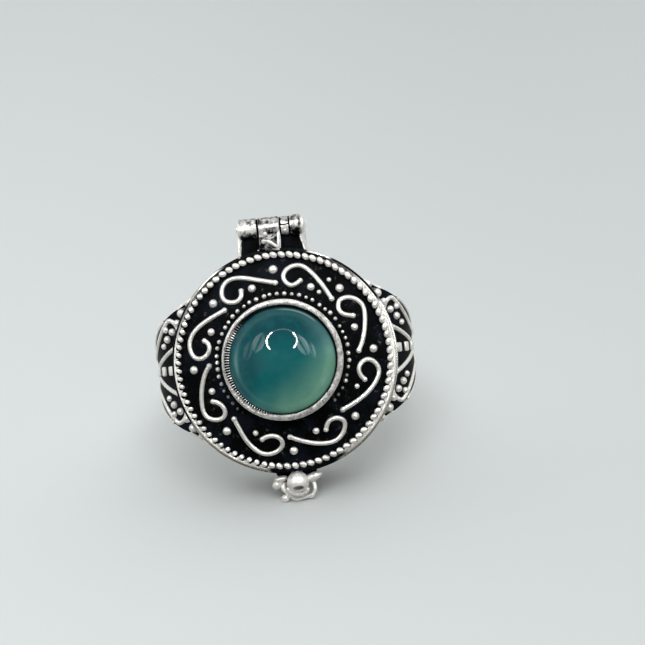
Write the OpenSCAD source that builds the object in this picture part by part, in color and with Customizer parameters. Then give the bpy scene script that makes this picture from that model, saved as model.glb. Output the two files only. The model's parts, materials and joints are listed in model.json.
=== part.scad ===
// Poison ring: a band with flared shoulders, a round box, and a hinged lid with scrollwork and a round cabochon.
// The ring lies on its side, on the two lobes of the catch and on the back edge of the band.

/* [Band] */
// Radius of the finger hole
finger_r = 9.45; // [9.2:0.05:9.6]
// Thickness of the band
band_t = 1.55; // [1.4:0.05:1.7]
// Width of the band behind the finger
band_w = 4.1; // [3.6:0.1:4.6]

/* [Shoulders] */
// Width of the shoulders where they meet the box
shoulder_w = 10.6; // [10.4:0.1:11]
// Radius of the rounded shoulders, seen along the finger
shoulder_r = 5.2; // [5:0.1:5.6]
// Height of the rounded part of the shoulders
shoulder_h = 4.3; // [4:0.1:4.4]

/* [Box] */
// Outside radius of the box
box_r = 8.9; // [8.7:0.1:9]
// Thickness of the box wall
box_wall = 0.7; // [0.5:0.05:0.9]
// Thickness of the floor over the finger
floor_t = 0.7; // [0.6:0.05:0.8]
// Inside depth of the box
box_depth = 4.65; // [4.4:0.05:5]
// Radius of the flange that the lid closes on
flange_r = 9.5; // [9.4:0.05:9.6]
// Thickness of the flange
flange_t = 0.4; // [0.3:0.05:0.6]

/* [Lid] */
// Outside radius of the lid
lid_r = 9.3; // [9.2:0.05:9.4]
// Thickness of the lid
lid_t = 0.55; // [0.45:0.05:0.6]
// Rise of the lid from its rim to the bezel
lid_rise = 1.1; // [0.9:0.05:1.3]
// Height of the plain strip round the rim
strip_h = 0.9; // [0.8:0.05:1]
// Number of beads in the rope inside the strip
rope_count = 84; // [80:1:86]
// Radius of one bead of the rope
rope_r = 0.31; // [0.29:0.01:0.32]

/* [Bezel and stone] */
// Outside radius of the bezel
bezel_r = 5.12; // [5:0.02:5.2]
// Height of the bezel above the lid
bezel_h = 1.45; // [1.3:0.05:1.6]
// Radius of the stone at its girdle
stone_r = 4.6; // [4.55:0.01:4.62]
// Height of the domed top of the stone
dome_h = 2.2; // [1.8:0.1:2.5]
// Number of grains round the bezel
grain_count = 58; // [52:1:60]
// Radius of one grain
grain_r = 0.19; // [0.16:0.01:0.2]

/* [Scrolls and granules] */
// Number of scrolls on the lid
scroll_count = 8; // [6:1:8]
// Radius of the scroll wire
wire_r = 0.23; // [0.2:0.01:0.25]
// Radius of the granules between the scrolls
granule_r = 0.34; // [0.28:0.01:0.38]

/* [Hinge] */
// Distance of the pin from the middle of the lid
pin_v = 11.3; // [11.2:0.05:11.4]
// Radius of the pin
pin_r = 0.35; // [0.3:0.01:0.4]
// Radius of the knuckles
knuckle_r = 0.85; // [0.8:0.01:0.9]
// Half the length of the hinge
hinge_x = 2.9; // [2.8:0.05:3]

/* [Catch] */
// Radius of the ball on the lid
ball_r = 0.93; // [0.88:0.01:0.94]
// Distance of the ball from the middle of the lid
ball_v = 10.25; // [10.2:0.05:10.3]
// Distance of the lobes' feet from the middle of the lid
catch_v = 11.9; // [11.8:0.05:12]
// Radius of the two lobes that the ring lies on
lobe_r = 0.36; // [0.32:0.01:0.4]

/* [Hidden] */
$fn = 48;

clearance = 0.05;
silver = [0.8, 0.79, 0.76];
band_r = finger_r + band_t;
floor_y = finger_r + floor_t;
joint_y = floor_y + box_depth;

// Shoulders: the ledge under the lid, and where the round part turns into the straight side of the band
ledge_h = 1.5;
ledge_y = joint_y - ledge_h;
turn_y = ledge_y - shoulder_h;
turn_x = band_r - shoulder_r;
relief_r = 0.2;
stud = [0.5, 0.62, 0.66];
stud_u = [4.05, 2.95, 1.85];
panel_granule_r = 0.27;
granule_lift = 0.08;
corner_r = 0.34;

// Corners of the ledge beside the box, each as [distance from the middle, distance from the middle line, depth
// below the joint]: the shoulder's corner, the end under the flange, and two inside the metal
ledge_corner = [
    [8.65, shoulder_w / 2 - 0.02, ledge_h],
    [6.7, 6.45, ledge_h],
    [6.1, 5.9, ledge_h],
    [7.35, 4.1, ledge_h + 3]
];

// Shoulder wires, each point as [distance up the shoulder, distance from its middle line]
petal_wire = [[4.9, 2.15], [3.6, 1.5], [2.3, 1.05], [1.35, 0.5], [1, 0.05]];
outer_wire = [[4.8, 4.3], [3.3, 4.0], [2.4, 3.25], [1.6, 2.45], [0.4, 1.1]];
edge_wire = [for (u = [4.95, 3.7, 2.5, 1.3, 0, -2.5]) [u, half_width(puff_y(u)) - relief_r * 0.4]];
panel_granules = [[4.45, 3.4], [3.75, 2.8], [3.35, 3.5], [3.05, 2.2]];
corner_granules = [[8.4, 4.75, 1], [7.75, 5.4, 0.75]];

// Box: the wall stops a little below the joint, and the flange reaches it
wall_gap = clearance * 3;

// Lid: the flat rim, the cone up to the bezel and the hollow below
strip_t = 0.25;
rope_at = lid_r - strip_t - rope_r * 0.6;
rope_h = rope_r * 0.6;
rim_h = clearance + lid_t;
cone_out = 8.5;
cone_in = bezel_r + 0.18;
cone_tilt = atan(lid_rise / (cone_out - cone_in));
seat_h = rim_h + lid_rise;
hollow_h = seat_h - lid_t;
hollow_in = cone_in - 0.4;
hollow_out = cone_out - 0.6;
grains_at = cone_in + grain_r + 0.12;

// Bezel: a collar round the stone, with a bevelled outer edge and a lip that leans over the girdle
bezel_top = seat_h + bezel_h;
bezel_edge = [0.2, 0.25];
lip_r = stone_r - 0.18;
lip_t = 0.2;
lip_h = 0.5;
collar_r = stone_r + 0.06;
girdle_h = seat_h + 1;
dome_r = (stone_r * stone_r + dome_h * dome_h) / (2 * dome_h);
dome_mid = girdle_h + dome_h - dome_r;

// One scroll, from the tip of its tail to the end of its curl, and its granules, each as [angle, radius]
scroll_path = [
    [-0.5, 6.45], [8, 6.95], [17, 7.55], [24, 8], [29.5, 8.15], [35, 7.9], [38.6, 7.4],
    [39.3, 6.9], [37, 6.45], [32.8, 6.25], [28.7, 6.45], [26.6, 6.9]
];
outer_granule = [1.5, 7.6];
inner_granule = [18.4, 6.6];

// Hinge: the knuckles along the pin, each as [left end, right end]
pin_h = -0.1;
left_knuckle = [-hinge_x, -1.22];
lid_knuckle = [-1.05, 0.68];
spacer = [0.76, 1.5];
right_knuckle = [1.6, hinge_x];
ear_h = knuckle_r * 0.8;
ear_root = box_r - 0.5;
plate_end = pin_v - knuckle_r - clearance;
strap_root = lid_r - 0.2;
bore_gap = 0.03;

// Catch: the wings beside the ball, the bridge that joins them, and the wire loop below
ball_h = 0.35;
ball_neck = [0.9, 0.4, 0.45];
loop_h = -0.3;
loop_wire = 0.21;
loop_mid = ball_r + 0.02 + loop_wire;
loop_v = catch_v - loop_wire - loop_mid - 0.03;
loop_turn = 204;
lobe_v = catch_v - lobe_r;
wing = [0.98, 2.1];
wing_h = [-1.3, -0.1];
wing_root = box_r - 0.4;
wing_end = ball_v + 0.2;
bridge_h = 0.5;

// At rest: the lean on the lobes and on the back edge of the band, and the place over the floor
lobe_y = joint_y + loop_h;
lobe_to_edge = [band_r + lobe_y, lobe_v - band_w / 2];
lean = atan(lobe_to_edge[1] / lobe_to_edge[0]) + asin(lobe_r / norm(lobe_to_edge));
rest_z = band_r * sin(lean) + band_w / 2 * cos(lean);
back_y = band_r * cos(lean) + band_w / 2 * sin(lean);
front_y = -(joint_y + dome_mid) * cos(lean) - dome_r;

// Half the width of the band and shoulders at a distance y in front of the finger's axis
function half_width(y) =
    band_w / 2 + (shoulder_w - band_w) / 2 * max(0, min(1, (y - turn_y) / shoulder_h));

// Distance in front of the finger's axis, and place and outward normal, at a distance u up a shoulder
function turn(u) = max(u, 0) / shoulder_r * 180 / PI;
function puff_y(u) = turn_y + shoulder_r * sin(turn(u)) + min(u, 0);
function puff_normal(u) = [cos(turn(u)), -sin(turn(u)), 0];
function puff(u, z, out = 0) =
    [turn_x, -turn_y - min(u, 0), z] + (shoulder_r + out) * puff_normal(u);

// A place on the cone of the lid at a radius and angle, and the cone's outward normal
function cone_point(r, angle) =
    [r * cos(angle), r * sin(angle), rim_h + (cone_out - r) * tan(cone_tilt)];
function cone_normal(angle) =
    [sin(cone_tilt) * cos(angle), sin(cone_tilt) * sin(angle), cos(cone_tilt)];

// A smooth curve through points, with steps between each two
function clamped(p, i) = p[max(0, min(i, len(p) - 1))];
function between(a, b, c, d, t) =
    0.5 * (2 * b + (c - a) * t + (2 * a - 5 * b + 4 * c - d) * t ^ 2 + (3 * b - a - 3 * c + d) * t ^ 3);
function curve(p, steps) = [
    for (i = [0 : len(p) - 2])
        for (k = [0 : steps - 1])
            between(clamped(p, i - 1), p[i], p[i + 1], clamped(p, i + 2), k / steps),
    p[len(p) - 1]
];
function unit(v) = v / norm(v);

// A wire of radius r along the middle points, half sunk in the surface that has the given normals
module wire(middle, normal, r, sides = 6) {
    n = len(middle);
    rings = [
        for (i = [0 : n - 1])
            let (
                along = unit(middle[min(i + 1, n - 1)] - middle[max(i - 1, 0)]),
                across = unit(cross(along, normal[i])),
                out = cross(across, along)
            )
            for (k = [0 : sides - 1])
                middle[i] + r * (cos(360 * k / sides) * out + sin(360 * k / sides) * across)
    ];
    walls = [
        for (i = [0 : n - 2])
            for (k = [0 : sides - 1])
                let (a = i * sides + k, b = i * sides + (k + 1) % sides)
                for (f = [[a, a + sides, b + sides], [a, b + sides, b]]) f
    ];
    caps = [
        [for (k = [0 : sides - 1]) k],
        [for (k = [sides - 1 : -1 : 0]) (n - 1) * sides + k]
    ];
    polyhedron(rings, concat(walls, caps));
}

module shoulder_wire(points) {
    path = curve(points, 3);
    wire([for (q = path) puff(q[0], q[1])], [for (q = path) puff_normal(q[0])], relief_r);
}

module at_rest() {
    translate([0, -(front_y + back_y) / 2, rest_z])
        rotate([-lean, 0, 0])
            children();
}

// The face of the box: x to the right, y towards the hinge, z out of the lid, from the joint of lid and box
module on_face() {
    translate([0, -joint_y, 0])
        rotate([90, 0, 0])
            children();
}

module on_cone(r, angle) {
    translate(cone_point(r, angle))
        children();
}

module both_sides() {
    for (side = [0, 1])
        mirror([side, 0, 0])
            children();
}

module above_and_below() {
    for (side = [0, 1])
        mirror([0, 0, side])
            children();
}

// The band's and shoulders' outline, seen along the finger
module band_outline() {
    intersection() {
        circle(r = band_r);
        translate([-band_r, 0])
            square([2 * band_r, band_r]);
    }
    translate([-band_r, -turn_y])
        square([2 * band_r, turn_y]);
    translate([-turn_x, -ledge_y])
        square([2 * turn_x, shoulder_h]);
    for (side = [-1, 1])
        intersection() {
            translate([side * turn_x, -turn_y])
                circle(r = shoulder_r);
            translate([side > 0 ? turn_x : -turn_x - shoulder_r, -ledge_y])
                square([shoulder_r, shoulder_h]);
        }
}

// The band narrows from the box to the sides, seen from the side
module band() {
    reach = band_r + 1;
    intersection() {
        linear_extrude(height = shoulder_w, center = true)
            band_outline();
        rotate([90, 0, 90])
            linear_extrude(height = 2 * reach, center = true)
                polygon([
                    for (side = [-1, 1])
                        for (y = side < 0 ? [-reach, turn_y, ledge_y] : [ledge_y, turn_y, -reach])
                            [-y, side * half_width(y)]
                ]);
    }
}

// The flare of a shoulder into the box, from the corner of the ledge down to the wall
module ledge_flare() {
    both_sides()
        above_and_below()
            polyhedron(
                [for (q = ledge_corner) [q[0], q[2] - joint_y, q[1]]],
                [[0, 1, 2], [0, 3, 1], [1, 3, 2], [2, 3, 0]]
            );
}

module box() {
    wall_h = box_depth + floor_t - wall_gap;
    on_face() {
        translate([0, 0, -wall_h])
            cylinder(r = box_r, h = wall_h);
        translate([0, 0, -flange_t])
            cylinder(r = flange_r, h = flange_t);
    }
}

module box_hollow() {
    on_face()
        translate([0, 0, -box_depth])
            cylinder(r = box_r - box_wall, h = box_depth + 1);
}

module shoulder_relief() {
    both_sides() {
        for (u = stud_u)
            translate(puff(u, 0))
                rotate([0, 0, -turn(u)])
                    cube(stud, center = true);
        above_and_below() {
            shoulder_wire(petal_wire);
            shoulder_wire(outer_wire);
            shoulder_wire(edge_wire);
            for (g = panel_granules)
                translate(puff(g[0], g[1], granule_lift))
                    sphere(r = panel_granule_r);
            for (g = corner_granules)
                translate([g[0], -ledge_y - granule_lift, g[1]])
                    sphere(r = corner_r * g[2]);
        }
    }
}

module barrel(ends, r) {
    translate([ends[0], pin_v, pin_h])
        rotate([0, 90, 0])
            cylinder(r = r, h = ends[1] - ends[0]);
}

// A plate on the hinge side of the box, along the pin from one end to the other and out as far as reach
module hinge_plate(ends, reach) {
    translate([ends[0], ear_root, pin_h - ear_h])
        cube([ends[1] - ends[0], reach - ear_root, ear_h]);
}

module ear(ends) {
    barrel(ends, knuckle_r);
    hinge_plate(ends, pin_v);
}

module catch() {
    both_sides()
        translate([wing[0], -wing_end, wing_h[0]])
            cube([wing[1] - wing[0], wing_end - wing_root, wing_h[1] - wing_h[0]]);
    translate([-wing[0], -ball_v, wing_h[0]])
        cube([2 * wing[0], ball_v - wing_root, bridge_h]);
    translate([0, -loop_v, loop_h])
        rotate([0, 0, 270 - loop_turn / 2])
            rotate_extrude(angle = loop_turn)
                translate([loop_mid, 0])
                    circle(r = loop_wire);
    for (side = [-1, 1])
        translate([side * loop_mid, -lobe_v, loop_h])
            sphere(r = lobe_r);
}

module ring_body() {
    color(silver)
        at_rest() {
            difference() {
                union() {
                    band();
                    ledge_flare();
                    box();
                }
                box_hollow();
                cylinder(r = finger_r, h = 2 * shoulder_w, center = true);
            }
            on_face() {
                difference() {
                    union() {
                        ear(left_knuckle);
                        ear(right_knuckle);
                        hinge_plate([spacer[0], right_knuckle[0]], plate_end);
                    }
                    barrel([-hinge_x - 1, hinge_x + 1], pin_r + bore_gap);
                }
                catch();
            }
            shoulder_relief();
        }
}

// The lid, its rim strip and the bezel, turned from one section of [radius, height] points
module lid_section() {
    polygon([
        [0, hollow_h],
        [hollow_in, hollow_h],
        [hollow_out, clearance],
        [lid_r, clearance],
        [lid_r, strip_h],
        [lid_r - strip_t, strip_h],
        [lid_r - strip_t, rim_h],
        [cone_out, rim_h],
        [cone_in, seat_h],
        [bezel_r, seat_h],
        [bezel_r, bezel_top - bezel_edge[1]],
        [bezel_r - bezel_edge[0], bezel_top],
        [lip_r, bezel_top],
        [lip_r, bezel_top - lip_t],
        [collar_r, bezel_top - lip_h],
        [collar_r, seat_h],
        [0, seat_h]
    ]);
}

module rope() {
    for (i = [0 : rope_count - 1])
        rotate([0, 0, 360 * i / rope_count])
            translate([rope_at, 0, rim_h + rope_h])
                sphere(r = rope_r);
}

module grains() {
    for (i = [0 : grain_count - 1])
        on_cone(grains_at, 360 * i / grain_count)
            sphere(r = grain_r);
}

module scrollwork() {
    path = curve(scroll_path, 2);
    for (i = [0 : scroll_count - 1]) {
        turn = 360 * i / scroll_count;
        rotate([0, 0, turn])
            wire([for (q = path) cone_point(q[1], q[0])], [for (q = path) cone_normal(q[0])], wire_r);
        for (g = [outer_granule, inner_granule])
            on_cone(g[1], g[0] + turn)
                sphere(r = granule_r);
    }
}

module strap() {
    barrel(lid_knuckle, knuckle_r);
    translate([lid_knuckle[0], strap_root, clearance])
        cube([lid_knuckle[1] - lid_knuckle[0], pin_v - strap_root, ear_h + pin_h - clearance]);
}

// The ball that presses into the loop of the catch, and its neck
module catch_ball() {
    neck_root = lid_r - 0.2;
    neck_end = ball_v - ball_neck[1];
    translate([-ball_neck[0] / 2, -neck_end, clearance])
        cube([ball_neck[0], neck_end - neck_root, ball_neck[2]]);
    translate([0, -ball_v, ball_h])
        sphere(r = ball_r);
}

module lid() {
    color(silver)
        at_rest()
            on_face() {
                rotate_extrude()
                    lid_section();
                difference() {
                    strap();
                    barrel([-hinge_x, hinge_x], pin_r + clearance);
                }
                catch_ball();
                rope();
                grains();
                scrollwork();
            }
}

module stone() {
    color([0.22, 0.5, 0.5])
        at_rest()
            on_face()
                intersection() {
                    translate([0, 0, dome_mid])
                        sphere(r = dome_r, $fn = 96);
                    translate([0, 0, seat_h + clearance])
                        cylinder(r = stone_r, h = dome_r);
                }
}

module hinge_pin() {
    color(silver)
        at_rest()
            on_face()
                barrel([-hinge_x, hinge_x], pin_r);
}

module hinge_spacer() {
    color(silver)
        at_rest()
            on_face()
                difference() {
                    barrel(spacer, knuckle_r - clearance);
                    barrel([-hinge_x, hinge_x], pin_r + bore_gap);
                }
}

ring_body();
lid();
stone();
hinge_pin();
hinge_spacer();
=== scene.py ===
# Poison ring with a round box, a hinged lid with scrollwork and a teal cabochon, lying on a pale floor.
import json
import math
import random

import bpy
from mathutils import Matrix, Vector, noise

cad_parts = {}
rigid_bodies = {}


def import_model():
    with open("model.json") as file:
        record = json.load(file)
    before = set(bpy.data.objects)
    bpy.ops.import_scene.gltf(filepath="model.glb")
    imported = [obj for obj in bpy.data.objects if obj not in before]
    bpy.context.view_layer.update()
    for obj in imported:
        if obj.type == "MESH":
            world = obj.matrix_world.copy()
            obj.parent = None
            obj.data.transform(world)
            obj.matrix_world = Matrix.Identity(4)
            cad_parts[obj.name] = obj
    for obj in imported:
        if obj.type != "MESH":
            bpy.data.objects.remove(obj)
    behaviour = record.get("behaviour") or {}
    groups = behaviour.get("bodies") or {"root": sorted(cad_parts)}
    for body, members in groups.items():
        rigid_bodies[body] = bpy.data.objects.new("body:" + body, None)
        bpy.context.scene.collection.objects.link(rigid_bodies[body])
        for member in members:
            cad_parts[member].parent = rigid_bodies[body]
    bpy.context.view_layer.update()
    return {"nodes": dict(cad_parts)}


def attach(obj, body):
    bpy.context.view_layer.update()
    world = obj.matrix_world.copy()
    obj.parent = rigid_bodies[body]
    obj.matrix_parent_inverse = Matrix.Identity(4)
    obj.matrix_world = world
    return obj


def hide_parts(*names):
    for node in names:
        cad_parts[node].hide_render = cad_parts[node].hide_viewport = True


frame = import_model()
random.seed(7)

MM = 0.001
TURN = 2 * math.pi

# Sizes in millimetres, as in the part's source
finger_r, band_t, band_w = 9.45, 1.55, 4.1
band_r = finger_r + band_t
box_r, flange_r, floor_t, box_depth = 8.9, 9.5, 0.7, 4.65
shoulder_r, shoulder_w, shoulder_h, ledge_drop = 5.2, 10.6, 4.3, 1.5
rim_h, seat_h = 0.6, 1.7
cone_out, cone_in = 8.5, 5.3
stone_r, dome_h, girdle_h = 4.6, 2.2, 2.7
dome_r = (stone_r ** 2 + dome_h ** 2) / (2 * dome_h)
dome_mid = girdle_h + dome_h - dome_r
pin_v, pin_h, pin_r, knuckle_r = 11.3, -0.1, 0.35, 0.85
lid_knuckle = (-1.05, 0.68)
ball_v, ball_h, ball_r = 10.25, 0.35, 0.93
catch_v, lobe_r, loop_h = 11.9, 0.36, -0.3

# In front of the finger's axis: where the lid meets the box, the shoulders' ledge, and where their curve begins
joint_y = finger_r + floor_t + box_depth
ledge_y = joint_y - ledge_drop
turn_y = ledge_y - shoulder_h
turn_x = band_r - shoulder_r

# The ring rests on the catch's lobes and on the band's back edge, so it leans
lobe_to_edge = (band_r + joint_y + loop_h, catch_v - lobe_r - band_w / 2)
lean = math.atan2(lobe_to_edge[1], lobe_to_edge[0]) + math.asin(lobe_r / math.hypot(*lobe_to_edge))
rest_z = band_r * math.sin(lean) + band_w / 2 * math.cos(lean)
back_y = band_r * math.cos(lean) + band_w / 2 * math.sin(lean)
front_y = -(joint_y + dome_mid) * math.cos(lean) - dome_r

# The ring's own frame: z along the finger, the lid towards -y. The face's frame: z out of the lid, y to the hinge.
ring_frame = (Matrix.Translation((0, -(front_y + back_y) / 2 * MM, rest_z * MM))
              @ Matrix.Rotation(-lean, 4, "X") @ Matrix.Scale(MM, 4))
face_frame = ring_frame @ Matrix.Translation((0, -joint_y, 0)) @ Matrix.Rotation(math.pi / 2, 4, "X")


# Modelling helpers

def nothing_selected():
    for other in bpy.context.view_layer.objects:
        other.select_set(False)


def alone(obj):
    """Select one object and nothing else."""
    nothing_selected()
    obj.select_set(True)
    bpy.context.view_layer.objects.active = obj
    return obj


def edit(obj):
    alone(obj)
    bpy.ops.object.mode_set(mode="EDIT")
    bpy.ops.mesh.select_all(action="SELECT")


def done():
    bpy.ops.object.mode_set(mode="OBJECT")
    return bpy.context.object


def tidy(obj):
    """Merge doubles and turn the faces outwards."""
    edit(obj)
    bpy.ops.mesh.remove_doubles(threshold=0.0005)
    bpy.ops.mesh.normals_make_consistent(inside=False)
    return done()


def turned(profile, steps=96):
    """A profile of (radius, height) points spun round the z axis."""
    nothing_selected()
    bpy.ops.mesh.primitive_plane_add(size=0.1)
    bpy.ops.object.mode_set(mode="EDIT")
    bpy.ops.mesh.merge(type="CENTER")
    here = (profile[0][0], 0, profile[0][1])
    bpy.ops.transform.translate(value=here)
    for r, h in profile[1:]:
        bpy.ops.mesh.extrude_region_move(
            TRANSFORM_OT_translate={"value": (r - here[0], 0, h - here[2])})
        here = (r, 0, h)
    bpy.ops.mesh.select_all(action="SELECT")
    bpy.ops.mesh.spin(steps=steps, angle=TURN, center=(0, 0, 0), axis=(0, 0, 1))
    return tidy(done())


def skin(across, along, place):
    """A grid whose vertices are put in place by place(column share, row share)."""
    nothing_selected()
    bpy.ops.mesh.primitive_grid_add(x_subdivisions=across, y_subdivisions=along, size=1)
    obj = bpy.context.object
    for i, vertex in enumerate(obj.data.vertices):
        row, column = divmod(i, across + 1)
        vertex.co = place(column / across, row / along)
    return tidy(obj)


def smooth_path(points, steps, closed=False):
    """Catmull-Rom points through the given ones."""
    n = len(points)
    pick = (lambda i: points[i % n]) if closed else (lambda i: points[max(0, min(i, n - 1))])
    path = []
    for i in range(n if closed else n - 1):
        a, b, c, d = (Vector(pick(i + k)) for k in (-1, 0, 1, 2))
        for k in range(steps):
            t = k / steps
            path.append(0.5 * (2 * b + (c - a) * t + (2 * a - 5 * b + 4 * c - d) * t * t
                               + (3 * b - a - 3 * c + d) * t ** 3))
    if not closed:
        path.append(Vector(points[-1]))
    return path


def softened(path, passes):
    """The path with its kinks eased out, its ends where they were."""
    for _ in range(passes):
        path = [path[0], *((a + b * 2 + c) / 4 for a, b, c in zip(path, path[1:], path[2:])), path[-1]]
    return path


def wire(path, radius, sides=2, closed=False):
    """A round wire along a path, with rounded tips."""
    nothing_selected()
    bpy.ops.curve.primitive_bezier_curve_add()
    obj = bpy.context.object
    curve = obj.data
    curve.splines.clear()
    path = [Vector(p) for p in path]
    knots = [(p, 1.0) for p in path]
    if not closed:
        first, last = ([(end + (end - inner).normalized() * radius * math.sin(a), math.cos(a)) for a in (0.5, 1.0, 1.4)]
                       for end, inner in ((path[0], path[1]), (path[-1], path[-2])))
        knots = [*reversed(first), *knots, *last]
    spline = curve.splines.new("POLY")
    spline.points.add(len(knots) - 1)
    for point, (place, size) in zip(spline.points, knots):
        point.co = (*place, 1)
        point.radius = size
    spline.use_cyclic_u = closed
    curve.dimensions = "3D"
    curve.bevel_depth = radius
    curve.bevel_resolution = sides
    curve.use_fill_caps = not closed
    bpy.ops.object.convert(target="MESH")
    return tidy(bpy.context.object)


def ball(radius, place, squash=(1, 1, 1), segments=20, rings=12, uneven=0.0, seed=0):
    """A granule: a melted ball, a little uneven."""
    nothing_selected()
    bpy.ops.mesh.primitive_uv_sphere_add(segments=segments, ring_count=rings, radius=radius)
    edit(bpy.context.object)
    bpy.ops.transform.resize(value=squash)
    if uneven:
        bpy.ops.transform.vertex_random(offset=uneven, seed=seed)
    obj = done()
    obj.location = place
    return applied(obj)


def block(low, high, bevel=0.0, segments=2, shape=None, cuts=0):
    """A block from its low to its high corner, its corners moved by shape, with rounded edges."""
    nothing_selected()
    low, high = Vector(low), Vector(high)
    bpy.ops.mesh.primitive_cube_add(size=1, location=(0, 0, 0))
    obj = bpy.context.object
    for vertex in obj.data.vertices:
        corner = Vector(tuple(high[k] if vertex.co[k] > 0 else low[k] for k in range(3)))
        vertex.co = shape(corner) if shape else corner
    edit(obj)
    if bevel:
        bpy.ops.mesh.bevel(offset=bevel, segments=segments, affect="EDGES")
        bpy.ops.mesh.select_all(action="SELECT")
    if cuts:
        bpy.ops.mesh.subdivide(number_cuts=cuts)
    return done()


def applied(obj):
    alone(obj)
    bpy.ops.object.transform_apply(location=True, rotation=True, scale=True)
    return obj


def turned_by(obj, matrix):
    obj.matrix_world = matrix @ obj.matrix_world
    return applied(obj)


def joined(objects):
    alone(objects[0])
    for obj in objects:
        obj.select_set(True)
    bpy.ops.object.join()
    return bpy.context.object


def copy_of(obj):
    """A copy with a mesh of its own."""
    copy = obj.copy()
    copy.data = obj.data.copy()
    bpy.context.collection.objects.link(copy)
    return copy


def copies(obj, matrices):
    """One modelled piece copied to each place, as one object."""
    made = []
    for matrix in matrices:
        copy = copy_of(obj)
        copy.matrix_world = matrix @ obj.matrix_world
        made.append(applied(copy))
    bpy.data.objects.remove(obj)
    return joined(made)


def with_mirror_image(obj, flip):
    """The piece and its mirror image, as one object."""
    made = []
    for scale in ((1, 1, 1), flip):
        copy = copy_of(obj)
        copy.scale = scale
        made.append(tidy(applied(copy)))
    bpy.data.objects.remove(obj)
    return joined(made)


def both_sides(obj):
    return with_mirror_image(obj, (-1, 1, 1))


def above_and_below(obj):
    return with_mirror_image(obj, (1, 1, -1))


def attribute(obj, name, value):
    """A number on each vertex, worked out from its place in the piece's own frame."""
    layer = obj.data.attributes.new(name, "FLOAT", "POINT")
    layer.data.foreach_set("value", [float(value(v.co)) for v in obj.data.vertices])
    return obj


def marked(obj, rise_and_light):
    """Mark how far each vertex stands above its ground, before the piece is joined to others. On some pieces the mark
    also holds painted light and shade.
    """
    return attribute(obj, "rise_and_light", rise_and_light)


def worn(obj, level):
    """Mark a whole part with one level: black at 0 and below, bright at 0.5 and above."""
    return marked(obj, lambda p: level)


def bright_part(obj):
    return worn(obj, 0.7)


def dark_part(obj):
    return worn(obj, -0.3)


def finished(name, obj, where, body, material, rise_and_light, node, angle):
    """Name the piece, mark how far it stands above its ground, with painted light and shade on some pieces, and put it
    in its place, smooth up to an angle.
    """
    obj.name = name
    obj.data.name = name
    if rise_and_light:
        marked(obj, rise_and_light)
    turned_by(obj, where)
    alone(obj)
    bpy.ops.object.shade_smooth_by_angle(angle=math.radians(angle))
    obj.data.materials.clear()
    obj.data.materials.append(material)
    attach(obj, body)
    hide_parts(node)
    return obj


# Materials

def math_node(operation, swapped=False):
    """A method that adds a Math node for a value and another."""
    def method(self, other):
        values = (other, self) if swapped else (self, other)
        return self.shader.node("Math", {"operation": operation}, *values)[0]
    return method


class Value:
    """A socket in a shader; arithmetic on it adds Math nodes."""

    def __init__(self, shader, socket):
        self.shader, self.socket = shader, socket

    __add__, __radd__ = math_node("ADD"), math_node("ADD", True)
    __sub__, __rsub__ = math_node("SUBTRACT"), math_node("SUBTRACT", True)
    __mul__ = math_node("MULTIPLY")
    below, above = math_node("MINIMUM"), math_node("MAXIMUM")


class Shader:
    """A material being built, node by node."""

    def __init__(self, name):
        self.material = bpy.data.materials.new(name)
        self.material.use_nodes = True
        self.tree = self.material.node_tree
        self.tree.nodes.clear()
        self.output = self.tree.nodes.new("ShaderNodeOutputMaterial")

    def node(self, kind, settings=None, *inputs, **named):
        """Add a node: its settings first, then the values or links of its sockets."""
        node = self.tree.nodes.new("ShaderNode" + kind)
        for key, value in (settings or {}).items():
            setattr(node, key, value)
        for key, value in [*enumerate(inputs), *((k.replace("_", " "), v) for k, v in named.items())]:
            if value is None:
                continue
            socket = node.inputs[key]
            if isinstance(value, Value):
                self.tree.links.new(value.socket, socket)
            else:
                socket.default_value = value
        return [Value(self, out) for out in node.outputs]

    def place(self, scale=(1, 1, 1), turn=(0, 0, 0)):
        """Object coordinates in millimetres."""
        coordinates = self.node("TexCoord")[3]
        return self.node("Mapping", None, coordinates, (0, 0, 0), turn,
                         tuple(s / MM for s in scale))[0]

    def noise(self, scale, detail=3, rough=0.5, place=None):
        return self.node("TexNoise", None, Vector=place or self.place(), Scale=scale,
                         Detail=detail, Roughness=rough)[0]

    def step(self, value, low, high):
        """0 below low, 1 above high and smooth between."""
        return self.node("MapRange", {"interpolation_type": "SMOOTHSTEP"}, value, low, high, 0.0, 1.0)[0]

    def mix(self, share, a, b):
        """Two colours mixed."""
        node = self.tree.nodes.new("ShaderNodeMix")
        node.data_type = "RGBA"
        for index, value in ((0, share), (6, a), (7, b)):
            if isinstance(value, Value):
                self.tree.links.new(value.socket, node.inputs[index])
            else:
                node.inputs[index].default_value = (*value, 1) if index else value
        return Value(self, node.outputs[2])

    def attribute(self, name):
        return self.node("Attribute", {"attribute_name": name})[2]

    def bump(self, height, distance):
        return self.node("Bump", None, Strength=1.0, Distance=distance * MM, Height=height)[0]

    def ending(self, shader):
        self.tree.links.new(shader.socket, self.output.inputs[0])
        return self.material

    def surface(self, **sockets):
        """The finished surface."""
        return self.ending(self.node("BsdfPrincipled", None, **sockets)[0])

    def lamp(self, strength, colour=None):
        """A surface that only gives light."""
        return self.ending(self.node("Emission", None, colour, strength)[0])


BLACK = (0.0008, 0.0012, 0.0016)
BLUE_BLACK = (0.004, 0.0065, 0.011)
GREY = (0.22, 0.21, 0.19)
BRIGHT = (0.95, 0.93, 0.89)
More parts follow.
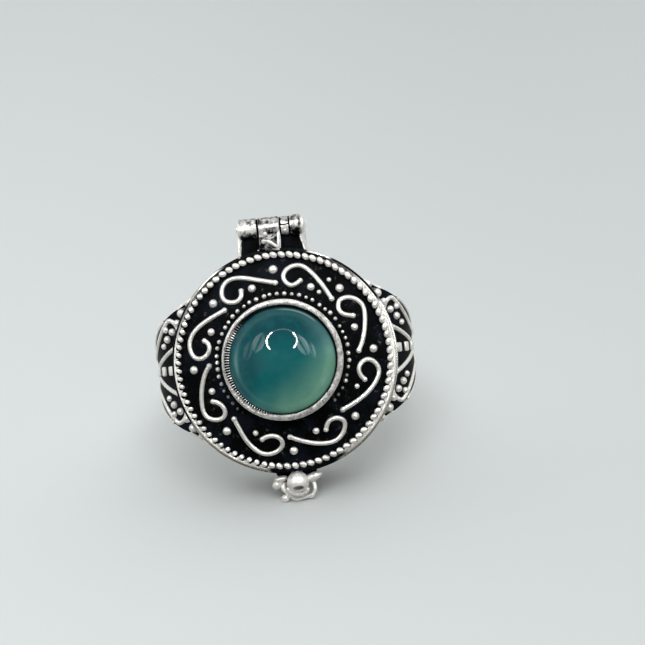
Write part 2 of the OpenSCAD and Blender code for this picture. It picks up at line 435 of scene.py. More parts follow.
# For the stone: the dark teal is painted shade, the grey-green and green painted light, the pale green painted
# highlights and the stone's edge colour a painted shadow along the lip
TEAL, SHADED_TEAL, THREAD_TEAL = (0.003, 0.118, 0.126), (0.003, 0.066, 0.080), (0.03, 0.21, 0.22)
GREY_GREEN, GREEN, HIGHLIGHT_GREEN = (0.160, 0.360, 0.345), (0.155, 0.345, 0.250), (0.42, 0.56, 0.50)
LIP_SHADOW = (0.004, 0.022, 0.024)


def silver(name, dark, bright, pits, metallic, scratches=0.3, flecks=0.0, mottle=0.0):
    """Silver that is black where it stands less than dark above its ground and rubbed where more than bright. Where the
    mark holds painted light and shade, it turns black and bright the same way.
    """
    s = Shader(name)
    rise_and_light = s.attribute("rise_and_light")
    blotches = s.noise(0.55, 4, 0.6)
    grain = s.noise(6.0, 5, 0.65)
    fine = s.noise(22.0, 3, 0.6)
    lines = s.noise(9.0, 2, 0.5, s.place((1, 0.12, 0.4), (0.3, 0.5, 0.9)))
    spots = s.noise(2.6, 4, 0.62)
    rubbed = s.step(rise_and_light + (grain - 0.5) * 0.10 + (blotches - 0.5) * 0.05 + (spots - 0.5) * mottle,
                    dark, bright)
    if flecks:
        specks = s.step(s.noise(1.7, 6, 0.7), 0.58, 0.78)
        rubbed = rubbed.above(specks * flecks)
    tarnish = s.step(blotches * 0.6 + grain * 0.4, 0.46, 0.68)
    metal = s.mix(tarnish * 0.35 + s.step(lines, 0.52, 0.72) * scratches, BRIGHT, GREY)
    hollow = s.mix(s.step(s.noise(0.45, 3), 0.46, 0.66), BLACK, BLUE_BLACK)
    colour = s.mix(rubbed, hollow, metal)
    height = grain * 0.6 + fine * 0.25 + lines * 0.25
    return s.surface(Base_Color=colour, Metallic=rubbed * metallic,
                     Roughness=0.56 - rubbed * 0.22 + (fine - 0.5) * 0.22 + tarnish * 0.08,
                     Specular_IOR_Level=0.03, Normal=s.bump(height, 0.05 * pits))


def plain_silver(name, tarnished, blackened=True):
    """Smooth worn silver, with rub marks, scratches and a grey film, blackened where the mesh is marked."""
    s = Shader(name)
    rise_and_light = s.attribute("rise_and_light") if blackened else 1.0
    film = s.noise(0.22, 4, 0.6)
    cloud = s.noise(1.4, 5, 0.6)
    fine = s.noise(14.0, 4, 0.6)
    lines = s.noise(7.0, 3, 0.6, s.place((0.15, 1, 1), (0.2, 0.4, 0.1)))
    hairs = s.noise(16.0, 2, 0.5, s.place((1, 0.06, 0.3), (0.5, 0.2, 1.1)))
    dull = s.step(film * 0.5 + cloud * 0.5, 0.42, 0.66) * tarnished
    marks = s.step(lines, 0.56, 0.74) * 0.16 + s.step(hairs, 0.6, 0.75) * 0.3
    metal = s.mix((dull + marks).below(1.0), BRIGHT, GREY)
    shaded = s.step(rise_and_light + (cloud - 0.5) * 0.2, 0.05, 0.3)
    colour = s.mix(shaded, s.mix(s.step(film, 0.45, 0.6), BLACK, BLUE_BLACK), metal)
    return s.surface(Base_Color=colour, Metallic=shaded * 0.95, Specular_IOR_Level=0.06,
                     Roughness=0.23 + dull * 0.2 + (fine - 0.5) * 0.12 + (1 - shaded) * 0.25,
                     Normal=s.bump(cloud * 0.5 + lines * 0.3 + fine * 0.2, 0.03))


def stone_colour_and_light(name):
    """A polished translucent cabochon, teal: painted shade makes it deep blue-teal on top, painted green light is
    caught at its lower right, with painted highlights and a painted shadow along the lip.
    """
    s = Shader(name)
    milky = s.noise(0.28, 3, 0.5) - 0.5
    threads = s.noise(1.3, 5, 0.6)
    # Painted shade darkens the teal towards the top and the left.
    middle = s.mix(s.step(s.attribute("shade") + milky * 0.5, 0.0, 1.0), TEAL, SHADED_TEAL)
    # The colour of the painted light caught in the stone: green at the lower right, grey-green elsewhere.
    caught = s.mix(s.step(s.attribute("green") + milky * 0.3, 0.0, 0.9), GREY_GREEN, GREEN)
    streaks = s.noise(1.1, 4, 0.6, s.place((1, 0.45, 1), (0.0, 0.0, 0.8))) - 0.5
    painted_light = s.attribute("painted_light") + milky * 0.25 + streaks * 0.35 * s.attribute("painted_light")
    colour = s.mix(painted_light.above(0.0).below(1.3), middle, caught)
    colour = s.mix(s.step(threads, 0.42, 0.75) * 0.20, colour, THREAD_TEAL)
    # Painted highlights: two pale lines.
    colour = s.mix(s.attribute("line") * 0.7, colour, HIGHLIGHT_GREEN)
    # A painted shadow along the stone's edge, under the lip.
    colour = s.mix(s.attribute("edge"), colour, LIP_SHADOW)
    return s.surface(Base_Color=colour, Roughness=0.04, IOR=1.5, Specular_IOR_Level=0.28,
                     Subsurface_Weight=0.12, Subsurface_Radius=(0.3, 0.9, 0.8), Subsurface_Scale=0.0015)


# The silver finishes read each piece's mark. On the hinge, the catch ball, the bezel and the rope, the mark also holds
# painted highlights, reflections and shade. The stone's finish holds painted light, shade and highlights.
wires_wear_and_shade = silver("rubbed silver wire", dark=0.04, bright=0.18, pits=0.9, metallic=0.6, scratches=0.1)
ground_finish = silver("blackened silver ground", dark=0.2, bright=0.4, pits=1.6, metallic=0.5, flecks=0.16)
bezel_wear_and_shadow = silver("rubbed bezel", dark=0.05, bright=0.33, pits=1.2, metallic=0.65, scratches=0.75, mottle=0.25)
band_finish = plain_silver("worn band", 0.22)
box_finish = plain_silver("tarnished box", 0.4)
hinge_wear_and_light = silver("worn hinge", dark=0.05, bright=0.5, pits=1.6, metallic=0.45, mottle=1.0)
catch_wear_and_light = silver("worn catch", dark=0.05, bright=0.45, pits=0.7, metallic=0.4, mottle=0.25)
teal_stone_and_light = stone_colour_and_light("polished teal stone")


# The lid, in the face's frame

slope = (seat_h - rim_h) / (cone_out - cone_in)


def polar(p):
    """Distance from the lid's axis, and angle in degrees."""
    return math.hypot(p.x, p.y), math.degrees(math.atan2(p.y, p.x)) % 360


def ray(angle):
    """The direction from the lid's axis at an angle in degrees."""
    a = math.radians(angle)
    return Vector((math.cos(a), math.sin(a), 0))


def lid_ground(r):
    """Height of the lid's ground at a radius."""
    return rim_h + slope * max(0.0, min(cone_out - r, cone_out - cone_in))


def above_lid(p):
    return p.z - lid_ground(math.hypot(p.x, p.y))


def on_lid(angle, r, out=0.0):
    """A point over the lid's ground, from an angle in degrees and a radius."""
    return ray(angle) * r + Vector((0, 0, lid_ground(r) + out))


# The bezel and its grains were soldered on a little off the middle
shift = Vector((-0.15, 0.13, 0))


def eased(value, low, high):
    t = max(0.0, min(1.0, (value - low) / (high - low)))
    return t * t * (3 - 2 * t)


def around(table, angle):
    """A value from a table of (angle, value) rows from angle 0, eased from row to row round the circle."""
    angle %= 360
    rows = [*table, (table[0][0] + 360, table[0][1])]
    for (a, low), (b, high) in zip(rows, rows[1:]):
        if a <= angle <= b:
            return low + (high - low) * eased(angle, a, b)


lid_cover = turned([
    (0, 1.15), (2.5, 1.15), (4.8, 1.15), (5.0, 1.09), (7.75, 0.1), (8.0, 0.05), (9.18, 0.05), (9.27, 0.09),
    (9.29, 0.2), (9.29, 0.74), (9.26, 0.84), (9.19, 0.88), (9.11, 0.87), (9.05, 0.8), (9.03, 0.63),
    (8.95, rim_h), *((r, lid_ground(r)) for r in (cone_out, 7.9, 7.1, 6.3, 5.6)), (cone_in, seat_h), (4.9, seat_h),
    (0, seat_h)], 180)
# Its ground is hammered a little uneven
for vertex in lid_cover.data.vertices:
    r = math.hypot(vertex.co.x, vertex.co.y)
    if cone_in < r < 8.9 and above_lid(vertex.co) > -0.05:
        vertex.co.z += 0.05 * noise.noise(vertex.co * 1.1)


# How bright the strip is, by angle: it is dark beside the hinge
strip_brightness = [(0, 0.5), (35, 0.4), (50, 0.25), (66, 0.22), (76, 0.05), (110, 0.05), (122, 0.22), (150, 0.28),
              (180, 0.42), (230, 0.36), (254, 0.3), (262, 0.0), (288, 0.0), (300, 0.3)]
# The same for the box's flange, of which parts show past the lid
flange_brightness = [(0, 0.35), (22, 0.3), (32, 0.0), (57, 0.0), (63, 0.3), (71, 0.2), (76, 0.0), (112, 0.0), (124, 0.2),
               (140, 0.16), (150, 0.0), (200, 0.0), (225, 0.4), (252, 0.4), (260, 0.0), (288, 0.0), (300, 0.4)]


def cover_rise(p):
    """Bright on the strip round the rim, grey underneath and black on top."""
    r, angle = polar(p)
    if r > 9.04:
        return around(strip_brightness, angle) if p.z > 0.5 else 0.3
    return 0.38 if p.z < lid_ground(r) - 0.1 else 0.0


finished("lid_cover", lid_cover, face_frame, "lid", ground_finish, cover_rise, "lid", 30)

# Twisted wire inside the rim: slanting lobes over a black core. By angle, how dull the lobes are and how black
# the gaps between them, as tarnish and as painted shade
rope_dull_and_shade = [(0, 0.0), (60, 0.02), (100, 0.04), (150, 0.06), (180, 0.08), (240, 0.06), (262, 0.02), (290, 0.02),
             (330, 0.03)]
rope_gap_black_and_shade = [(0, 0.5), (60, 0.5), (100, 0.4), (125, 0.7), (150, 1.7), (180, 2.8), (240, 2.2), (265, 0.8), (330, 0.7)]
lobes, rope_at, rope_h, lobe_slant = 84, 8.86, 0.83, math.radians(31)
rope_middle = Vector((-0.02, 0.05, 0))
lobe = ball(0.25, (0, 0, 0), (1, 1.45, 0.9), 16, 10, 0.006, 2)
rope = copies(lobe, [
    Matrix.Translation(rope_middle) @ Matrix.Rotation(TURN * (i + random.uniform(-0.06, 0.06)) / lobes, 4, "Z")
    @ Matrix.Translation((rope_at + random.uniform(-0.015, 0.015), 0, rope_h))
    @ Matrix.Rotation(-lobe_slant, 4, "Z") for i in range(lobes)])


def rope_rise_and_shade(p):
    """Bright along the middle of each lobe and black between two of them, most at the left: tarnish and painted shade.
    """
    r, angle = polar(p - rope_middle)
    along = ((angle * lobes / 360 + 0.5) % 1 - 0.5) * TURN * rope_at / lobes
    aside = abs(along * math.cos(lobe_slant) + (r - rope_at) * math.sin(lobe_slant))
    return p.z - rope_h + 0.16 - around(rope_dull_and_shade, angle) - around(rope_gap_black_and_shade, angle) * max(0.0, aside - 0.09)


marked(rope, rope_rise_and_shade)


def rope_core(radius, height, thickness):
    return wire([ray(360 * i / 96) * radius + Vector((0, 0, height)) for i in range(96)], thickness, 1, closed=True)


# The black core shows between the lobes as blackened silver and painted shade.
core = dark_part(rope_core(8.8, 0.72, 0.15))
edge = marked(rope_core(9.0, 0.78, 0.1), lambda p: around(strip_brightness, polar(p)[1]) * 0.5)
finished("rope_border", joined([rope, core, edge]), face_frame, "lid", wires_wear_and_shade, None, "lid", 60)

# The eight scrolls, each given one by one: (angle, radius in photo pixels) from the tail's tip to the curl's end
PIXEL = 0.084
scroll_points = [
    [(2, 74), (10, 81), (20, 88.5), (27, 94), (32, 95), (38, 91), (41, 85), (42, 80), (39, 74.5), (34, 73),
     (30, 77), (27.5, 81)],
    [(47, 77), (60, 86), (70, 94), (76, 96.5), (82, 92.5), (85, 86), (84.5, 80), (81, 75.5), (77, 75.5),
     (73, 81)],
    [(91, 78), (103, 85), (112, 94), (119, 98.5), (125, 96), (129, 88), (128, 81), (123, 75.5), (118, 77),
     (116, 82)],
    [(134, 78.5), (143, 84.5), (152, 92.5), (161, 98), (169, 95), (173, 88), (171, 79), (165, 76),
     (161, 79), (160, 83)],
    [(178, 76), (184, 82), (195, 90), (207, 98), (213, 94), (216.5, 87), (216, 80), (211, 77), (206, 79),
     (203.5, 83)],
    [(223, 77.5), (230, 82), (240, 91), (251, 97), (259, 92), (263, 84), (260, 77), (254, 76), (249, 80),
     (248, 82)],
    [(268, 76.5), (274, 80.5), (285, 89), (296, 95.5), (304, 92), (309, 85), (307, 77), (301, 74),
     (297, 77), (295, 80)],
    [(314, 75.5), (323, 81), (335, 90), (347, 95.5), (353, 90), (355.5, 82.5), (353, 76), (348.5, 73.5),
     (343.5, 76), (341, 81.5)],
]


def centred(angle, pixels):
    """A radius in millimetres about the lid's true middle."""
    a = math.radians(angle)
    return PIXEL * (pixels - 0.4 + 0.55 * math.cos(a) + 0.45 * math.sin(a))


scrolls = []
for points in scroll_points:
    path = softened(smooth_path([on_lid(a, centred(a, r), 0.06) for a, r in points], 6), 10)
    path = [on_lid(math.degrees(math.atan2(p.y, p.x)), math.hypot(p.x, p.y), 0.07) for p in path]
    scrolls += [wire(path, 0.2, 3), ball(0.25, path[0] + Vector((0, 0, -0.02))), ball(0.23, path[-1])]
finished("scroll_wires", joined(scrolls), face_frame, "lid", wires_wear_and_shade, above_lid, "lid", 60)

# Granules as (angle, radius in photo pixels, size)
granules = [(2, 88.7, 0.35), (47, 90.2, 0.36), (91.3, 91.5, 0.38), (135.3, 91.6, 0.36), (179.8, 91.7, 0.35),
            (224.5, 91.6, 0.36), (269.7, 90.6, 0.35), (316, 89.2, 0.35), (20, 76.6, 0.31), (64.6, 77.5, 0.33),
            (108.4, 79, 0.34), (152.6, 79, 0.32), (196.7, 79.3, 0.29), (242, 78.2, 0.24), (288.1, 76.7, 0.29),
            (334.7, 76, 0.22), (55.5, 91.5, 0.2), (57.5, 76, 0.2), (223, 77.5, 0.2), (268, 76.5, 0.18)]
beads = [ball(size, on_lid(a, centred(a, r), 0.07), (1, 1, 0.85), 20, 12, 0.012, k)
         for k, (a, r, size) in enumerate(granules)]
finished("lid_granules", joined(beads), face_frame, "lid", wires_wear_and_shade, above_lid, "lid", 60)

# Grains round the bezel, bright on one side of the lid and nearly black on the other
grain_brightness = [(0, 0.8), (18, 0.75), (32, 0.5), (45, 0.8), (60, 0.5), (78, 0.6), (95, 0.9), (110, 1), (165, 1),
              (178, 0.55), (190, 0.35), (220, 0.25), (240, 0.0), (300, 0.0), (318, 0.35), (335, 0.5), (350, 0.7)]
grain_count, grains_at = 57, 5.5


def grain_place(i):
    place = on_lid(360 * i / grain_count + random.uniform(-0.8, 0.8), grains_at + random.uniform(-0.04, 0.04), 0.03)
    return Matrix.Translation(shift + place) @ Matrix.Scale(random.uniform(0.75, 1.05), 4)


grain = ball(0.2, (0, 0, 0), (1, 1, 0.9), 12, 8, 0.008, 3)
grain_ring = copies(grain, [grain_place(i) for i in range(grain_count)])
finished("grain_ring", grain_ring, face_frame, "lid", wires_wear_and_shade,
         lambda p: (above_lid(p) + 0.1) * around(grain_brightness, polar(p)[1]), "lid", 60)

# The bezel: a collar rubbed over the stone by hand, so its lip is uneven and ticked along one side. By angle, the
# lip's inner radius, how dull it is and how clear its ticks are
lip_inside = [(0, 4.60), (45, 4.62), (90, 4.62), (135, 4.76), (180, 4.84), (225, 4.72), (270, 4.60), (315, 4.56)]
bezel_dull = [(0, 0.05), (45, 0.03), (90, 0.0), (190, 0.0), (230, 0.03), (270, 0.06), (330, 0.06)]
bezel_ticked = [(0, 0), (125, 0), (150, 1), (240, 1), (262, 0)]
tick_count = 134


def stone_top(r):
    return dome_mid + math.sqrt(dome_r ** 2 - r ** 2)


def lip_touch(angle):
    """Radius at which the lip touches the stone."""
    return 4.42 - 0.06 * math.sin(math.radians(angle))


def bezel_point(column, row):
    """A point of the collar: up its inside, over the lip, down its outside and back under it."""
    angle = 360 * column
    inside, touch = around(lip_inside, angle), lip_touch(angle)
    low = stone_top(touch) - 0.02
    turn = ray(angle)
    profile = [(4.66, 1.62), (4.66, 2.5), (touch + 0.03, low - 0.1), (touch, low),
               (touch + 0.3 * (inside - touch), low + 0.02), (inside - 0.08, 2.98), (inside - 0.02, 3.10),
               (inside + 0.04, 3.15), (4.78 + (inside - 4.6) * 0.6, 3.15), (4.96, 3.12), (5.03, 3.04),
               (5.05, 2.9), (5.05, 2.35), (5.05, 1.95), (5.08, 1.78), (5.18, 1.62), (4.66, 1.62)]
    k = round(row * (len(profile) - 1))
    r, z = profile[k]
    wave = 0.035 * noise.noise(turn * 2.2 + Vector((0, 0, z)))
    if 4 <= k <= 7 and round(column * tick_count * 4) % 4 > 1:
        r += 0.05 * around(bezel_ticked, angle)
        z -= 0.06 * around(bezel_ticked, angle)
    if 2 < k < 12:
        r += wave
        z += 0.03 * noise.noise(turn * 3)
    return turn * r + shift + Vector((0, 0, z))


def bezel_rise_and_shadow(p):
    """Bright on the lip, dark on the slope down to the stone, with bright and dark ticks along one side. The dark slope
    is a painted shadow between the lip and the stone.
    """
    r, angle = polar(p - shift)
    dull = around(bezel_dull, angle)
    if r > 5.0:
        return (p.z - 2.2) * 0.5 - dull * 3
    if r > around(lip_inside, angle) - 0.03:
        return 0.24 - dull
    tick = 0.3 if (angle * tick_count / 360 + 0.1) % 1 < 0.28 else 0.0
    return 0.02 + tick * around(bezel_ticked, angle)


bezel = skin(tick_count * 4, 16, bezel_point)
finished("bezel", bezel, face_frame, "lid", bezel_wear_and_shadow, bezel_rise_and_shadow, "lid", 50)

# The hinge's plates lean a little, by hand
def leaning(p):
    return Vector((p.x + (p.y - 10.6) * 0.1, p.y, p.z))


def tube(x_low, x_high, outer, inner, low_edge=0.06, high_edge=0.06):
    """A knuckle on the pin's line, with a round bore and rounded ends."""
    ends = []
    for x, inward, edge in ((x_low, 1, low_edge), (x_high, -1, high_edge)):
        ring = [(outer - edge, x), (outer - 0.3 * edge, x + inward * 0.3 * edge), (outer, x + inward * edge)]
        ends.append(ring if inward > 0 else ring[::-1])
    middle = [(outer, x_low + low_edge + (x_high - high_edge - x_low - low_edge) * k / 6) for k in range(1, 6)]
    obj = turned([(inner, x_low), *ends[0], *middle, *ends[1], (inner, x_high), (inner, x_low)], 64)
    return turned_by(obj, Matrix.Translation((0, pin_v, pin_h)) @ Matrix.Rotation(math.pi / 2, 4, "Y"))


def knuckle_light_and_wear(p, grey_above=11.5, black_below=10.5):
    """Bright in a band as a painted highlight, grey above it as painted shade, and black towards the lid as painted
    shade and tarnish.
    """
    if p.z < -0.5:
        return 0.3
    return 0.5 * eased(p.y, black_below, black_below + 0.75) - 0.26 * eased(p.y, grey_above - 0.1, grey_above + 0.2)


def knuckle_point(x, v, out=0.0):
    """A point on the front of a knuckle."""
    r = knuckle_r + out
    return Vector((x, v, pin_h + math.sqrt(max(0.0, r ** 2 - (v - pin_v) ** 2))))


def seam(points, radius, out=0.0):
    return wire(smooth_path([knuckle_point(x, v, out) for x, v in points], 6), radius, 1)


def gap_shade_tube(x_low, x_high):
    """A black tube between two knuckles: painted shade in the gap."""
    return dark_part(tube(x_low, x_high, knuckle_r - 0.09, pin_r + 0.03, 0.01, 0.01))


def strap_light_and_wear(p):
    """The middle knuckle is bright in a narrow band and down its two sides, and mottled between them. The band is a
    painted highlight, and painted shade greys it above and below the band.
    """
    if p.z < -0.5:
        return 0.3
    grey = 0.26 * eased(p.y, 11.42, 11.55) + 0.14 * eased(-p.y, -11.35, -11.2)
    mottled = 0.26 * eased(0.62 - abs(p.x + 0.05), 0.0, 0.25) * eased(-p.y, -11.3, -11.1)
    return 0.5 - grey - mottled


strap = [
    marked(tube(lid_knuckle[0], lid_knuckle[1] - 0.02, knuckle_r, pin_r + 0.05), strap_light_and_wear),
    marked(block((-1.05, 9.0, 0.06), (0.68, 10.9, 0.50), 0.06, 2, leaning, 4),
           lambda p: 0.06 + 0.14 * eased(p.y, 9.6, 10.0)),
    worn(block((0.46, 9.25, 0.3), (0.68, 11.0, 0.60), 0.06, 2, leaning), 0.6),
    bright_part(ball(0.2, (-0.55, 10.72, 0.58), (1, 1, 0.8), 16, 10)),
    bright_part(wire(smooth_path([(-0.72, 10.14, 0.54), (-0.3, 10.05, 0.6), (0.05, 9.8, 0.58), (0.3, 9.6, 0.54)], 5),
                     0.13, 2)),
    bright_part(ball(0.2, (-0.72, 10.12, 0.52), (1, 1, 0.7), 16, 10)),
    worn(wire([(-0.35, 10.45, 0.5), (0.0, 10.6, 0.52)], 0.06, 1), 0.3),
    worn(wire([(-0.2, 10.3, 0.5), (0.15, 10.42, 0.52)], 0.06, 1), 0.3),
    worn(wire([(0.0, 9.4, 0.48), (0.35, 9.35, 0.5)], 0.09, 1), 0.3),
]
finished("hinge_strap", joined(strap), face_frame, "lid", hinge_wear_and_light, None, "lid", 40)

# The ball that snaps into the loop
def knob_painted_reflection(p):
    """Bright all over but for one painted dark reflection low on the ball."""
    dark_reflection = math.hypot((p.x - 0.02) / 0.6, (p.y + 10.68) / 0.24)
    return 0.64 - (0.52 * eased(1.32 - dark_reflection, 0.0, 0.85) if p.z > ball_h else 0.0)


knob = [marked(ball(ball_r, (0.02, -ball_v, ball_h), (1, 1, 1), 48, 32, 0.012, 5), knob_painted_reflection),
        worn(block((-0.45, -9.95, 0.06), (0.45, -9.1, 0.42), 0.08, 2, None, 3), 0.2),
        worn(wire([(-0.42, -9.48, 0.4), (0.42, -9.48, 0.4)], 0.08, 2), 0.35),
        bright_part(ball(0.16, (0.02, -9.28, 0.55), (1, 1.2, 0.8), 12, 8))]
finished("catch_ball", joined(knob), face_frame, "lid", catch_wear_and_light, None, "lid", 60)


# The stone

stone_profile = [(0, seat_h + 0.05), (4.45, seat_h + 0.05), (stone_r, seat_h + 0.2), (stone_r, girdle_h - 0.05)]
edge_angle, dome_steps = math.asin(stone_r / dome_r), 72
for k in range(dome_steps + 1):
    a = edge_angle * (1 - k / dome_steps)
    stone_profile.append((dome_r * math.sin(a), dome_mid + dome_r * math.cos(a)))
stone = turned(stone_profile, 160)

# Painted light caught in the stone, by angle: beyond the circle, in a thin band near the rim and at the rim
band_at = 3.85
caught_light = [(0, 0.95), (30, 0.5), (60, 0.35), (95, 0.2), (180, 0.2), (215, 0.12), (245, 0.4), (270, 0.9),
                (300, 1.0), (335, 1.1)]
band_light = [(0, 0), (120, 0.1), (150, 0.2), (180, 0.6), (203, 0.15), (250, 0.1), (280, 0.1), (322, 0.3),
              (332, 0.7), (340, 0.5)]
rim_light = [(0, 0.7), (25, 0.15), (60, 0.0), (300, 0.0), (318, 0.5), (335, 1.3)]


def near(value, middle, width):
    """1 at the middle, and falling off to 0 over about twice the width."""
    return math.exp(-((value - middle) / width) ** 2)


def stone_painted_light(p):
    """Painted light caught beyond an off-centre circle, most at the lower right, and in a thin band at the left."""
    r, angle = polar(p)
    crescent = eased(math.hypot(p.x + 0.7, p.y - 1.3), 2.2, 6.0) * around(caught_light, angle)
    crescent += 0.5 * eased(r, 3.3, 4.0) * around(rim_light, angle)
    return min(1.3, crescent + near(r, band_at, 0.16) * around(band_light, angle))


def stone_shade(p):
    """Painted shade: darker towards the top and the left."""
    return max(eased(p.y + 0.25 * abs(p.x), 0.2, 3.4), 0.8 * eased(-p.x - 0.3 * abs(p.y), 0.6, 3.0))


def stone_highlights(p):
    """Two painted highlights as pale lines: a soft one at the lower right and a thin one along the lip at the upper
    right.
    """
    r, angle = polar(p)
    soft = near(r, band_at, 0.2) * around([(0, 0), (316, 0), (328, 0.3), (336, 0.2), (346, 0)], angle)
    return soft + near(r, lip_touch(angle) - 0.17, 0.05) * around([(0, 0), (40, 0), (50, 1), (80, 0.8), (95, 0)], angle)


attribute(stone, "painted_light", stone_painted_light)
attribute(stone, "green", lambda p: eased(math.cos(math.radians(polar(p)[1] + 58)), -0.1, 1.0))
attribute(stone, "shade", stone_shade)
attribute(stone, "line", stone_highlights)
# Where the painted shadow under the lip lies.
attribute(stone, "edge", lambda p: eased(polar(p)[0] - lip_touch(polar(p)[1]), -0.09, 0.02))
stone = turned_by(stone, Matrix.Translation(shift))
finished("stone_cabochon", stone, face_frame, "lid", teal_stone_and_light, None, "stone", 60)


# The box, in the face's frame

box_shell = turned([
    (0, -box_depth), (8.0, -box_depth), (8.2, -box_depth + 0.2), (8.2, -0.15), (8.25, -0.04), (8.35, 0),
    (9.30, 0), (9.37, 0), (9.42, -0.02), (9.47, -0.05), (flange_r, -0.12), (flange_r, -0.28), (9.46, -0.37),
    (9.36, -0.4), (8.98, -0.42), *((box_r, h) for h in (-0.52, -1.0, -4.6, -4.9)), (8.83, -5.1), (8.65, -5.2),
    (0, -5.2)], 160)


def box_rise(p):
    """Bright at the flange's edge by angle, darker in the box and black in the crease under the flange."""
    r, angle = polar(p)
    if r < 8.3 and p.z > -box_depth - 0.1:
        return 0.16
    if r > 9.25:
        return around(flange_brightness, angle)
    if p.z > -0.1:
        return 0.2
    return 0.1 if p.z > -0.95 else 0.28


finished("box_shell", box_shell, face_frame, "ring", box_finish, box_rise, "ring_body", 30)


# The two outer knuckles on their plates: the right one has a wide bevel on its outer side
def right_plate(p):
    if p.x > 2:
        return Vector((2.32 + (10.9 - p.y) * 0.2 if p.z > -0.5 else 2.88, p.y, p.z))
    return leaning(p)


def plate_rise(p):
    """Black on top, with a light edge on each outer side."""
    if p.x > 2.3 + (10.9 - p.y) * 0.2 - 0.04 or p.x < -2.62:
        return 0.6
    return (p.y - 10.45) * 0.9 if p.z > -0.3 else 0.0


ears = [
    marked(tube(-2.86, -1.22, knuckle_r, pin_r + 0.03, 0.3, 0.05),
           lambda p: 0.6 if p.x < -2.6 else knuckle_light_and_wear(p)),
    # A dark band where the knuckle meets its bevel: painted shade.
    marked(tube(1.6, 2.88, knuckle_r, pin_r + 0.03, 0.05, 0.5),
           lambda p: 0.6 if p.x > 2.5 else 0.12 if p.x > 2.36 else knuckle_light_and_wear(p, 11.6, 10.8)),
    marked(block((-2.86, 8.7, -0.78), (-1.22, 10.9, -0.12), 0.05, 2, leaning, 8), plate_rise),
    bright_part(block((-2.88, 8.9, -0.7), (-2.66, 11.2, 0.1), 0.08, 2, leaning)),
    marked(block((0.76, 8.7, -0.78), (2.9, 10.42, -0.12), 0.05, 2, right_plate, 8), plate_rise),
    marked(block((1.6, 10.0, -0.78), (2.9, 11.2, -0.12), 0.05, 2, right_plate, 8), plate_rise),
    dark_part(seam([(-2.45, 12.0), (-2.0, 11.9), (-1.6, 11.72), (-1.26, 11.45)], 0.05, -0.045)),
    gap_shade_tube(-1.24, -1.08), gap_shade_tube(1.46, 1.62),
    # Black blocks behind the plates: painted shade where the floor would show through.
    dark_part(block((-2.8, 9.5, -0.85), (-1.1, 10.95, -0.7), 0.02)),
    dark_part(block((0.7, 9.5, -0.85), (2.8, 10.95, -0.7), 0.02)),
]
finished("hinge_ears", joined(ears), face_frame, "ring", hinge_wear_and_light, None, "ring_body", 40)

# The loose tube beside the middle knuckle, with its seam
spacer = [marked(tube(0.84, 1.47, knuckle_r - 0.05, pin_r + 0.03), lambda p: knuckle_light_and_wear(p, 11.55, 10.35)),
          gap_shade_tube(0.71, 0.86), bright_part(ball(0.14, knuckle_point(1.12, 10.93, -0.1), (1.3, 1, 0.7), 16, 10)),
          dark_part(seam([(0.85, 11.4), (1.15, 11.36), (1.46, 11.4)], 0.06, -0.05)),
          bright_part(seam([(0.85, 11.24), (1.15, 11.2), (1.46, 11.24)], 0.05, -0.05))]
finished("spacer_tube", joined(spacer), face_frame, "ring", hinge_wear_and_light, None, "hinge_spacer", 40)


def pebble(place, sizes, turn, seed=0):
    """A melted bead of three sizes, turned about the lid's axis."""
    bead = ball(1, (0, 0, 0), sizes, 28, 16, 0.016, seed)
    return turned_by(bead, Matrix.Translation(place) @ Matrix.Rotation(math.radians(turn), 4, "Z"))


# The catch below the box: two wings and a loop of wire with two lobes
catch = [
    bright_part(pebble((-1.38, -9.86, -0.16), (0.58, 0.26, 0.36), 10, 1)),
    # The left wing's lower bead darkens towards the bottom: a painted reflection.
    marked(pebble((-1.66, -10.26, -0.5), (0.6, 0.40, 0.40), 42, 2), lambda p: 0.5 + (p.y + 10.2) * 0.3),
    bright_part(pebble((1.34, -9.93, -0.12), (0.76, 0.37, 0.42), 14, 3)),
    worn(pebble((1.62, -10.08, -0.65), (0.36, 0.16, 0.3), 10, 4), 0.2),
    worn(block((-1.1, -10.2, -1.3), (1.1, -8.6, -0.8), 0.1), 0.0),
    worn(block((-1.75, -9.7, -1.25), (1.7, -8.6, -0.5), 0.3, 3), 0.0),
    bright_part(pebble((-1.16, -(catch_v - lobe_r) + 0.02, loop_h), (0.34, 0.31, 0.34), 0, 5)),
    bright_part(pebble((1.05, -(catch_v - lobe_r) + 0.04, loop_h), (0.27, 0.24, 0.27), 0, 6)),
    bright_part(wire(smooth_path([(-1.15, -10.3, -0.5), (-1.28, -10.72, -0.35), (-0.95, -11.08, loop_h),
                                  (-0.62, -11.45, loop_h), (-0.2, -11.66, loop_h), (0.3, -11.58, loop_h),
                                  (0.8, -11.5, loop_h), (1.15, -11.45, loop_h), (1.36, -11.15, loop_h),
                                  (1.38, -10.7, -0.35), (1.2, -10.2, -0.5)], 6), 0.19, 3)),
    bright_part(wire([(1.0 * math.sin(a), -10.27 - 1.0 * math.cos(a), 0.3)
                      for a in [math.radians(-60 + 110 * i / 24) for i in range(25)]], 0.2, 3)),
]
finished("catch_loop", joined(catch), face_frame, "ring", catch_wear_and_light, None, "ring_body", 50)


# The band and its shoulders, in the ring's frame

def half_width(y):
    """Half the width of the band at a distance y in front of the finger's axis."""
    t = max(0.0, min(1.0, (y - turn_y) / shoulder_h))
    return band_w / 2 + (shoulder_w - band_w) / 2 * t


def on_circle(radius, angle):
    """A point round the finger's axis, at an angle in degrees from the lid's side."""
    a = math.radians(angle)
    return radius * math.sin(a), radius * math.cos(a)


